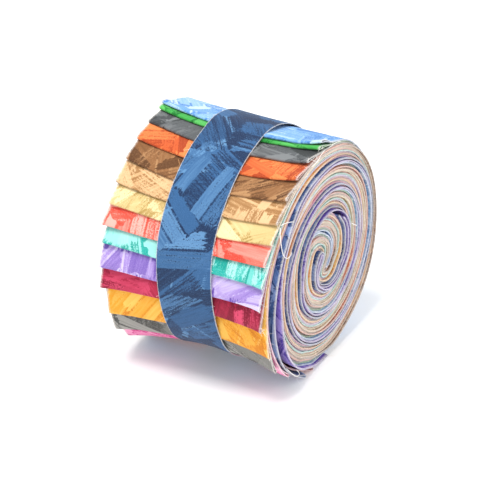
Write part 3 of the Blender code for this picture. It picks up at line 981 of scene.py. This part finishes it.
def fibres(dice, points, rows, fuzz):
    """Routes of short fibres that curl out of a cloth's rim, in metres."""
    outward = 1.0 if fuzz.side else -1.0
    share = np.linspace(0.0, 1.0, FUZZ_POINTS)[:, None]
    routes = []
    for _ in range(fuzz.count):
        start = points[dice.choice(rows), fuzz.side]
        heading = np.array([outward * dice.uniform(0.25, 1.0), dice.gauss(0.0, 0.6), dice.gauss(0.0, 0.6)])
        curl = np.array([dice.gauss(0.0, 0.5) for _ in range(3)])
        length = fuzz.longest * MM * (0.25 + 0.75 * dice.random() ** 2)
        route = start + length * (share * heading + share ** 2 * curl)
        route[:, 2] = np.maximum(route[:, 2], FUZZ_THICKNESS * MM)
        routes.append(route)
    return routes


def fuzz_routes():
    """Routes of the fuzz on all the raw edges, in metres."""
    dice = random.Random("fuzz")
    routes = []
    for number, strip in enumerate(STRIPS, 1):
        ribbon, points = strip_points(number)
        half = len(points) // 2
        row_angle = ribbon.angle
        front = np.flatnonzero((row_angle > strip.fold - FUZZ_SHOWN_FROM) & (np.arange(len(points)) > half))
        turns = np.flatnonzero(row_angle < strip.fold - FUZZ_SHOWN_FROM)
        for fuzz in FUZZ_ON_FRONT:
            routes += fibres(dice, points, front.tolist(), fuzz)
        for fuzz in FUZZ_IN_TURNS:
            routes += fibres(dice, points, turns.tolist(), fuzz)
    band = tie_band_points()
    for fuzz in FUZZ_ON_BAND:
        routes += fibres(dice, band, range(len(band)), fuzz)
    return routes


def spin(name, routes, thickness, sides):
    """Round threads along routes in metres, as one mesh."""
    bpy.ops.object.select_all(action="DESELECT")
    curve = bpy.data.curves.new(name, "CURVE")
    curve.dimensions = "3D"
    curve.bevel_depth = thickness * MM / 2.0
    curve.bevel_resolution = sides
    curve.use_fill_caps = True
    for route in routes:
        spline = curve.splines.new("POLY")
        spline.points.add(len(route) - 1)
        spline.points.foreach_set("co", np.column_stack([route, np.ones(len(route))]).ravel())
    thread = bpy.data.objects.new(name, curve)
    bpy.context.scene.collection.objects.link(thread)
    thread.select_set(True)
    bpy.context.view_layer.objects.active = thread
    bpy.ops.object.convert(target="MESH")
    return bpy.context.object


def thread_material():
    """Pale cotton thread."""
    material = bpy.data.materials.new("pale thread")
    material.use_nodes = True
    shader = material.node_tree.nodes["Principled BSDF"]
    feed(material.node_tree, shader, Base_Color=(*linear("#F1EEEA"), 1.0), Roughness=0.8,
         Sheen_Weight=0.2)
    return material


def look_at(place, target):
    """Rotation that points a lamp or camera from one place at another."""
    return (target - place).to_track_quat("-Z", "Y").to_euler()


class ClothSettings(bpy.types.PropertyGroup):
    """Sizes and finish of the cloth."""

    strip_width: bpy.props.FloatProperty(
        name="Strip width",
        description="Width that the strips are cut to",
        default=STRIP_WIDTH * MM,
        unit="LENGTH",
    )
    band_width: bpy.props.FloatProperty(
        name="Band width",
        description="Width of the band that ties the roll",
        default=BAND_WIDTH * MM,
        unit="LENGTH",
    )
    print_size: bpy.props.FloatProperty(
        name="Print size",
        description="Scale of the brush strokes",
        default=1.1,
        subtype="FACTOR",
    )


class StudioSettings(bpy.types.PropertyGroup):
    """Floor and light."""

    floor_colour: bpy.props.FloatVectorProperty(
        name="Floor",
        description="Colour of the floor",
        default=(0.9, 0.9, 0.9),
        size=3,
        subtype="COLOR",
    )
    floor_glow: bpy.props.FloatProperty(
        name="Floor glow",
        description="Light that the floor gives by itself",
        default=0.14,
        min=0.0,
    )
    sky_strength: bpy.props.FloatProperty(
        name="Sky",
        description="Strength of the even light from all around",
        default=0.78,
        min=0.0,
    )
    key_power: bpy.props.FloatProperty(
        name="Key light",
        description="Power of the large soft light above the roll",
        default=10.5,
        unit="POWER",
    )
    fill_power: bpy.props.FloatProperty(
        name="Fill light",
        description="Power of the soft light beside the spiral face",
        default=4.0,
        unit="POWER",
    )


class BUNDLE_OT_wind_strips(bpy.types.Operator):
    """Wind the seventeen folded strips into the roll"""

    bl_idname = "bundle.wind_strips"
    bl_label = "Wind the strips"

    def execute(self, context):
        settings = context.scene.bundle_cloth
        for number in range(1, COUNT + 1):
            wind_strip(number, settings.strip_width / MM, settings.print_size)
        return {"FINISHED"}


class BUNDLE_OT_tie_band(bpy.types.Operator):
    """Lay the printed band round the roll"""

    bl_idname = "bundle.tie_band"
    bl_label = "Tie the band"

    def execute(self, context):
        settings = context.scene.bundle_cloth
        points = tie_band_points()
        flat, length = flat_sizes(points)
        thickness = np.full(points.shape[:2], BAND_THICKNESS)
        cloth = lay_flat("band_cloth", len(points), len(BAND_COLUMNS))
        thicken(cloth, points, thickness, flat)
        width = settings.band_width
        size = settings.print_size * BAND_STROKES
        materials = cloth_materials("blue_print_band", BAND_PRINT, width / MM, size,
                                    BAND_DARKNESS, BAND_FRAY)
        dress(cloth, materials,
              ["tie_band"])
        return {"FINISHED"}


class BUNDLE_OT_loose_threads(bpy.types.Operator):
    """Add the loose threads and the fuzz of the raw edges"""

    bl_idname = "bundle.loose_threads"
    bl_label = "Loosen the threads"

    def execute(self, context):
        material = thread_material()
        pieces = [spin("rim_fuzz", fuzz_routes(), FUZZ_THICKNESS, 0)]
        for number, thread in enumerate(THREADS, 1):
            route = smooth_line(thread.route, 5) * MM
            route[:, 2] += AXIS_HEIGHT * MM
            pieces.append(spin(f"loose_thread_{number}", [route], thread.thickness, 2))
        for piece in pieces:
            piece.data.materials.clear()
            piece.data.materials.append(material)
            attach(piece, BODY)
        return {"FINISHED"}


class BUNDLE_OT_studio(bpy.types.Operator):
    """Set the floor, the lights and the camera"""

    bl_idname = "bundle.studio"
    bl_label = "Set the studio"

    def execute(self, context):
        settings = context.scene.bundle_studio
        set_floor(settings.floor_colour, settings.floor_glow)
        set_lights(settings)
        set_camera()
        return {"FINISHED"}


class BUNDLE_PT_panel(bpy.types.Panel):
    """Sidebar panel of the strip bundle"""

    bl_label = "Fabric strip bundle"
    bl_idname = "BUNDLE_PT_panel"
    bl_space_type = "VIEW_3D"
    bl_region_type = "UI"
    bl_category = "Fabric"

    def draw(self, context):
        layout = self.layout
        for settings in (context.scene.bundle_cloth, context.scene.bundle_studio):
            for name in settings.__annotations__:
                layout.prop(settings, name)
        for name in ("wind_strips", "tie_band", "loose_threads", "studio"):
            layout.operator("bundle." + name)


def set_floor(colour, glow):
    """A plain pale floor, lit a little from below like a light table."""
    bpy.ops.object.select_all(action="DESELECT")
    bpy.ops.mesh.primitive_plane_add(size=6.0, location=(0.0, 0.0, -0.2 * MM))
    floor = bpy.context.object
    floor.name = "floor"
    material = bpy.data.materials.new("floor paper")
    material.use_nodes = True
    shader = material.node_tree.nodes["Principled BSDF"]
    shader.inputs["Base Color"].default_value = (*colour, 1.0)
    shader.inputs["Roughness"].default_value = 0.9
    shader.inputs["Specular IOR Level"].default_value = 0.1
    shader.inputs["Emission Color"].default_value = (1.0, 0.99, 0.98, 1.0)
    shader.inputs["Emission Strength"].default_value = glow
    floor.data.materials.append(material)


def add_softbox(name, azimuth, elevation, distance, size, power, colour):
    """A square soft light that looks at the roll from a direction round it."""
    a, e = math.radians(azimuth), math.radians(elevation)
    axis = Vector((0.0, 0.0, AXIS_HEIGHT * MM))
    toward = Vector((math.sin(a) * math.cos(e), -math.cos(a) * math.cos(e), math.sin(e)))
    place = axis + toward * distance
    bpy.ops.object.light_add(type="AREA", location=place, rotation=look_at(place, axis))
    lamp = bpy.context.object
    lamp.name = name
    lamp.data.size = size
    lamp.data.energy = power
    lamp.data.color = colour


def set_lights(settings):
    """Even white light all round, a key light above the front left, and a fill."""
    world = bpy.data.worlds.new("studio")
    world.use_nodes = True
    sky = world.node_tree.nodes["Background"]
    sky.inputs["Color"].default_value = (1.0, 1.0, 1.0, 1.0)
    sky.inputs["Strength"].default_value = settings.sky_strength
    bpy.context.scene.world = world
    add_softbox("key light", -10.0, 72.0, 1.1, 0.45, settings.key_power, (1.0, 0.99, 0.97))
    add_softbox("fill light", 75.0, 35.0, 1.2, 0.8, settings.fill_power, (0.97, 0.98, 1.0))
    bpy.context.scene.view_settings.view_transform = "Standard"


def set_camera():
    """The camera, at the photo's angle and framing."""
    a, e = math.radians(CAMERA_AZIMUTH), math.radians(CAMERA_ELEVATION)
    back = Vector((math.sin(a) * math.cos(e), -math.cos(a) * math.cos(e), math.sin(e)))
    right = Vector((math.cos(a), math.sin(a), 0.0))
    up = back.cross(right)
    place = back * CAMERA_DISTANCE
    for direction, pixels in zip((right, up), CAMERA_ASIDE):
        place -= direction * (pixels * CAMERA_DISTANCE / CAMERA_FOCUS)
    place.z += AXIS_HEIGHT
    bpy.ops.object.camera_add(location=place * MM, rotation=(-back).to_track_quat("-Z", "Y").to_euler())
    camera = bpy.context.object
    camera.name = "photo camera"
    camera.data.sensor_width = SENSOR
    camera.data.lens = CAMERA_FOCUS / PHOTO_SIZE * SENSOR
    camera.data.clip_start = 0.01
    camera.data.clip_end = 20.0
    bpy.context.scene.camera = camera


CLASSES = (
    ClothSettings,
    StudioSettings,
    BUNDLE_OT_wind_strips,
    BUNDLE_OT_tie_band,
    BUNDLE_OT_loose_threads,
    BUNDLE_OT_studio,
    BUNDLE_PT_panel,
)


def register():
    """Register the settings, the operators and the panel."""
    for kind in CLASSES:
        bpy.utils.register_class(kind)
    bpy.types.Scene.bundle_cloth = bpy.props.PointerProperty(type=ClothSettings)
    bpy.types.Scene.bundle_studio = bpy.props.PointerProperty(type=StudioSettings)


def unregister():
    """Take the settings, the operators and the panel away again."""
    del bpy.types.Scene.bundle_studio
    del bpy.types.Scene.bundle_cloth
    for kind in reversed(CLASSES):
        bpy.utils.unregister_class(kind)


def main():
    """Build the bundle and its studio."""
    register()
    bpy.ops.object.select_all(action="DESELECT")
    bpy.ops.bundle.wind_strips()
    bpy.ops.bundle.tie_band()
    bpy.ops.bundle.loose_threads()
    bpy.ops.bundle.studio()
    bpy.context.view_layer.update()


if __name__ == "__main__":
    main()
